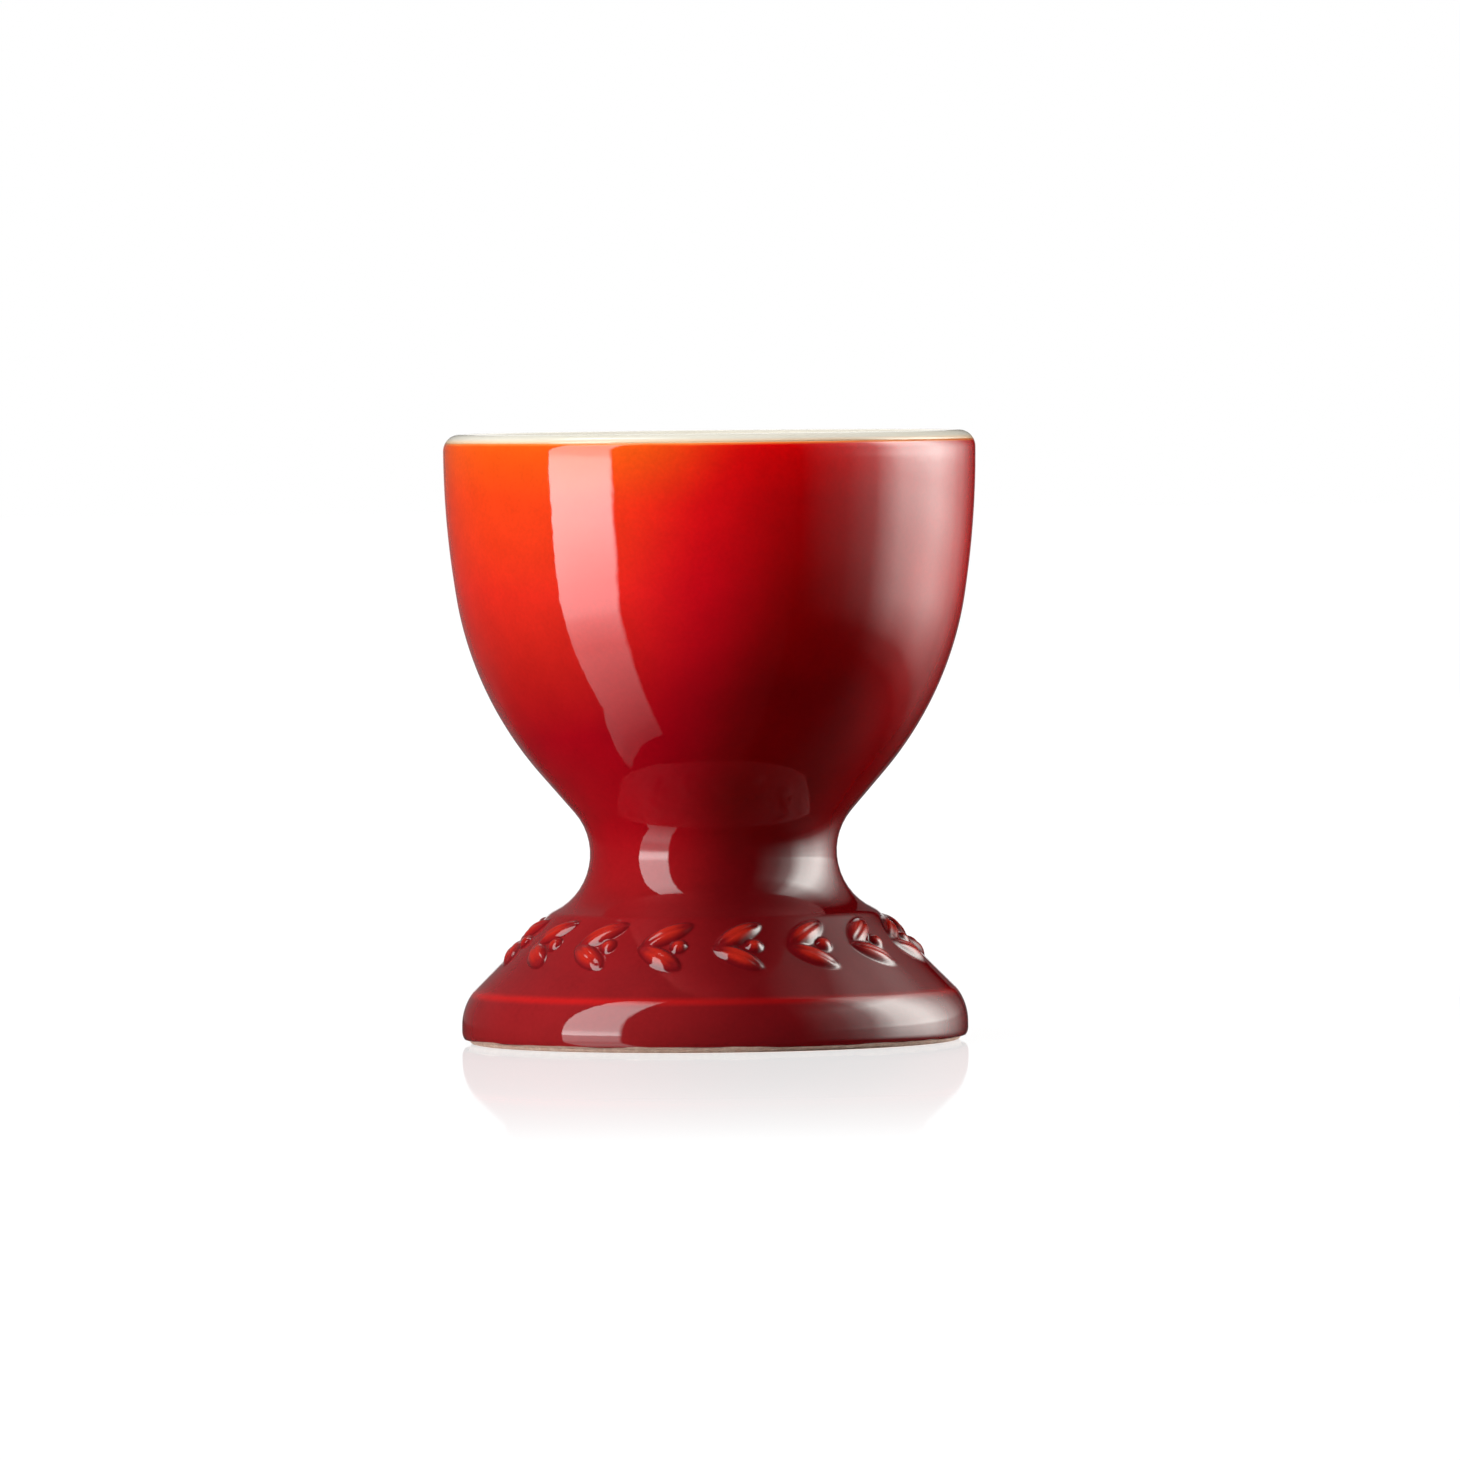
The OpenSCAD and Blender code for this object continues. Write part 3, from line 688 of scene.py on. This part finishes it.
# Shares of a card's glow, UP by angle above the table, below 0 for its mirror image, and ROUND by azimuth
STRIP_UP = [(-70, 0), (-57, 0.085), (-53, 0.136), (-48, 0.19), (-37, 0.33), (-31, 0.42), (-26, 0.42),
            (-20, 0.31), (-12, 0.385), (-5, 0.56), (-1, 0.62), (1.5, 0.56), (3.5, 0.5), (5, 0.38), (12, 0.35),
            (47, 0.33), (58, 0.26), (68, 0)]
STRIP_ROUND = [(-95, 0), (-90, 1), (-42.8, 1), (-42, 0)]
FILL_UP = [(-75, 0), (-45, 0.005), (-35, 0.0075), (-27, 0.0065), (-21, 0.032), (-13, 0.22), (-8, 0.365),
           (-4.5, 0.42), (-1, 0.53), (0.8, 0.53), (2.1, 0.62), (3.1, 0.85), (6, 0.84), (9, 0.83), (16, 0.88),
           (28, 0.92), (36, 0.93), (44, 0.45), (60, 0.045), (80, 0)]
FILL_ROUND = [(38, 0), (46, 0.018), (61, 0.067), (76, 0.215), (92, 0.94), (104, 1), (112, 0.99), (118, 0.86),
              (126, 0.54), (136, 0.24), (146, 0.09), (153, 0.03), (165, 0)]
DARK_ROUND = [(-180, 0.2), (-150, 0.08), (-110, 0.015), (-60, 0.012), (60, 0.012), (130, 0.03), (180, 0.1)]
FAN_UP = [(28, 1), (40, 0)]
FAN_ROUND = [(-180, 1), (-175, 0.9), (-167, 0), (167, 0), (175, 0.9), (180, 1)]
HIGH_UP = [(54, 0), (61, 1), (77, 1), (84, 0)]
HIGH_ROUND = [(-150, 0), (-141, 1), (-125, 1), (-116, 0)]
EVEN = [(0, 1)]


def around_cup(azimuth, away, up):
    turn = math.radians(azimuth)
    return away * math.sin(turn), -away * math.cos(turn), up


def seen_rays(tree):
    """1 for rays from the camera, by a mirror or through glass; 0 for those that only carry light."""
    path = put(tree, "ShaderNodeLightPath").outputs
    shown = calc(tree, "MAXIMUM", path["Is Camera Ray"], path["Is Glossy Ray"])
    return calc(tree, "MAXIMUM", shown, path["Is Transmission Ray"])


def white_world(ambient):
    """White to look at, but lights the cup no more than ambient."""
    world = bpy.data.worlds.new("white_studio")
    bpy.context.scene.world = world
    world.use_nodes = True
    tree = world.node_tree
    tree.nodes.clear()
    shader = put(tree, "ShaderNodeBackground", {
        "Color": WHITE, "Strength": ranged(tree, seen_rays(tree), 0, 1, ambient, 1)})
    put(tree, "ShaderNodeOutputWorld", {"Surface": shader.outputs[0]})


def floor_surface(tree, away):
    """White to the camera, but darkened by the cup's shadow and with a short mirror image of the cup."""
    fade = calc(tree, "POWER", ranged(tree, away, *MIRROR_ENDS), MIRROR_FALL)
    # Like any polished table it mirrors most where it is seen flattest.
    facing = calc(tree, "POWER", put(tree, "ShaderNodeLayerWeight", {"Blend": 0.5}).outputs["Facing"], 5)
    gloss = calc(tree, "MULTIPLY", calc(tree, "MULTIPLY_ADD", fade, -FLOOR_MIRROR, FLOOR_MIRROR), facing)
    shown = seen_rays(tree)
    level = ranged(tree, away, *WHITE_ENDS, *FLOOR_WHITE)
    # Inside the foot's ring it glows, so that the recess can be seen from below.
    under = calc(tree, "LESS_THAN", away, (ring_out - RING_ROUND) * MM)
    glow = put(tree, "ShaderNodeEmission", {"Color": WHITE, "Strength": calc(
        tree, "MAXIMUM", calc(tree, "MULTIPLY", shown, level), calc(tree, "MULTIPLY", under, RING_GLOW))})
    tone = ranged(tree, shown, 0, 1, FLOOR_BOUNCE, FLOOR_SHADE)
    body = put(tree, "ShaderNodeBsdfDiffuse", {"Color": joined(tree, tone, tone, tone)})
    pale = put(tree, "ShaderNodeAddShader", {0: body.outputs[0], 1: glow.outputs[0]})
    mirror = put(tree, "ShaderNodeBsdfGlossy", {"Color": WHITE, "Roughness": MIRROR_ROUGH})
    return put(tree, "ShaderNodeMixShader", {0: gloss, 1: pale.outputs[0], 2: mirror.outputs[0]})


def floor_window(tree, position, away):
    """Clear, with a darker mat on the strip's side that dims its mirror image in the stem and foot."""
    sideways = calc(tree, "DIVIDE", split(tree, position)["X"], away)
    mat = calc(tree, "MULTIPLY", smooth_step(tree, away, *MAT_ENDS), smooth_step(tree, sideways, *MAT_SIDE))
    let = calc(tree, "MULTIPLY_ADD", mat, MAT_LET - 1, 1)
    return put(tree, "ShaderNodeBsdfTransparent", {"Color": joined(tree, let, let, let)})


def pale_floor():
    made, tree, position = material("pale_floor")
    flat = put(tree, "ShaderNodeVectorMath", {0: position, 1: (1, 1, 0)}, operation="MULTIPLY").outputs[0]
    away = put(tree, "ShaderNodeVectorMath", {0: flat}, operation="LENGTH").outputs["Value"]
    seen, window = floor_surface(tree, away), floor_window(tree, position, away)
    # Reflections in the cup, and views from below, look through the floor, and its mat dims both.
    clear = calc(tree, "MAXIMUM", put(tree, "ShaderNodeLightPath").outputs["Is Glossy Ray"],
                 put(tree, "ShaderNodeNewGeometry").outputs["Backfacing"])
    finish_surface(tree, put(tree, "ShaderNodeMixShader", {
        0: clear, 1: seen.outputs[0], 2: window.outputs[0]}))
    mesh = bpy.data.meshes.new("floor")
    corners = ((-1, -1), (1, -1), (1, 1), (-1, 1))
    mesh.from_pydata([(x * FLOOR_HALF, y * FLOOR_HALF, -FLOOR_DOWN) for x, y in corners], [], [(0, 1, 2, 3)])
    mesh.materials.append(made)
    floor = bpy.data.objects.new("floor", mesh)
    bpy.context.collection.objects.link(floor)


def studio_card(name, reach, azimuths, heights, made):
    """A card on a sphere of radius reach round the cup that only reflections see.

    heights are angles above the table; azimuths are two angles, or a function that gives them for a height.
    """
    points, faces = [], []
    for i in range(CARD_GRID + 1):
        for j in range(CARD_GRID + 1):
            height = heights[0] + (heights[1] - heights[0]) * j / CARD_GRID
            low, high = azimuths(height) if callable(azimuths) else azimuths
            points.append(around_cup(low + (high - low) * i / CARD_GRID, *(reach * unit(height))))
    for i in range(CARD_GRID):
        for j in range(CARD_GRID):
            k = i * (CARD_GRID + 1) + j
            faces.append((k, k + 1, k + CARD_GRID + 2, k + CARD_GRID + 1))
    mesh = bpy.data.meshes.new(name)
    mesh.from_pydata(points, [], faces)
    mesh.materials.append(made)
    card = bpy.data.objects.new(name, mesh)
    bpy.context.collection.objects.link(card)
    card.visible_camera = card.visible_diffuse = card.visible_transmission = False
    card.visible_shadow = card.visible_volume_scatter = False


def card_light(name, strength, around, upright, tint=(1, 1, 1), lean=0.0):
    """Glow of a card: its share by azimuth times its share by angle above the table, times strength."""
    made, tree, position = material(name)
    place = split(tree, put(tree, "ShaderNodeVectorMath", {0: position}, operation="NORMALIZE").outputs[0])
    height = calc(tree, "DIVIDE", calc(tree, "ARCSINE", place["Z"]), math.pi)
    up = ramp(tree, calc(tree, "ADD", height, 0.5), [(e / 180 + 0.5, (share,) * 3) for e, share in upright])
    turn = calc(tree, "ARCTAN2", place["X"], calc(tree, "MULTIPLY", place["Y"], -1))
    azimuth = calc(tree, "DIVIDE", turn, 2 * math.pi)
    if lean:
        # The card's far edge leans towards the front higher up.
        past = calc(tree, "MULTIPLY", smooth_step(tree, azimuth, *(side / 360 for side in LEAN_SIDE)),
                    calc(tree, "MAXIMUM", height, 0))
        azimuth = calc(tree, "MULTIPLY_ADD", past, lean / 2, azimuth)
    across = ramp(tree, calc(tree, "ADD", azimuth, 0.5),
                  [(a / 360 + 0.5, (share,) * 3) for a, share in around])
    glow = calc(tree, "MULTIPLY", calc(tree, "MULTIPLY", up, across), strength)
    finish_surface(tree, put(tree, "ShaderNodeEmission", {"Color": (*tint, 1), "Strength": glow}))
    return made


def lamp(name, power, place, size):
    """An area lamp that lights the cup but isn't mirrored in it; it points at the cup's middle."""
    light = bpy.data.lights.new(name, "AREA")
    light.shape = "RECTANGLE"
    light.size, light.size_y = size
    light.energy = power
    holder = bpy.data.objects.new(name, light)
    bpy.context.collection.objects.link(holder)
    holder.location = place
    holder.rotation_euler = (Vector((0, 0, 0.03)) - Vector(place)).to_track_quat("-Z", "Y").to_euler()
    holder.visible_camera = holder.visible_glossy = False


def view_from(spot, aim, width, roll):
    """Sets the scene's camera; width is the angle of its field across."""
    eye = bpy.data.cameras.new("camera")
    eye.sensor_fit, eye.sensor_width = "HORIZONTAL", 36.0
    eye.angle = math.radians(width)
    eye.clip_start, eye.clip_end = 0.01, 50.0
    camera = bpy.data.objects.new("camera", eye)
    bpy.context.collection.objects.link(camera)
    turn = (aim - spot).to_track_quat("-Z", "Y").to_matrix().to_4x4()
    camera.matrix_world = Matrix.Translation(spot) @ turn @ Matrix.Rotation(math.radians(roll), 4, "Z")
    bpy.context.scene.camera = camera


def strip_edges(up):
    """The strip's edges; its back one turns away below the knee."""
    return STRIP_BACK + STRIP_WIDENS * min(up - STRIP_KNEE, 0), STRIP_FRONT


def fan_edges(up):
    """The fan opens upwards."""
    return 180 - FAN_SPREAD * up, 180 + FAN_SPREAD * up


studio_card("strip_softbox", CARD_AWAY, strip_edges, (-60, 69),
            card_light("strip_glow", 13.0, STRIP_ROUND, STRIP_UP))
studio_card("fill_card", CARD_AWAY, (38, 165), (-76, 81),
            card_light("fill_glow", 9.6, FILL_ROUND, FILL_UP, tint=(0.97, 1.0, 0.955), lean=0.24))
studio_card("dark_surround", 1.0, (-180, 180), (-89.9, 89.9), card_light("dark_card", 1.0, DARK_ROUND, EVEN))
studio_card("white_behind", 0.99, (172, 188), (0.8, 5.5), card_light("white_card", 1.0, EVEN, EVEN))
studio_card("white_fan", 0.98, fan_edges, (5.5, 40), card_light("white_sky", 1.0, FAN_ROUND, FAN_UP))
studio_card("high_strip", CARD_AWAY, (-150, -116), (54, 84),
            card_light("high_glow", 4.0, HIGH_ROUND, HIGH_UP))
lamp("key_lamp", 7.85, around_cup(-54, LAMP_AWAY, 0.36), (0.45, 0.6))
lamp("side_lamp", 10.0, around_cup(122, LAMP_AWAY, 0.2), (0.45, 0.6))
lamp("top_lamp", 6.3, (-0.1, -0.05, 0.9), (0.7, 0.7))
lamp("rear_lamp", 3.7, (0.05, 1.1, 0.5), (0.6, 0.5))
white_world(ambient=0.05)
pale_floor()
# The photographed cup stands a little askew, so the camera is turned instead.
view_from(Vector((0.0017, -1.384, 0.068)), Vector((0.0017, 0.0, 0.0296)), width=5.747, roll=-0.6)
bpy.context.scene.view_settings.view_transform = "Standard"
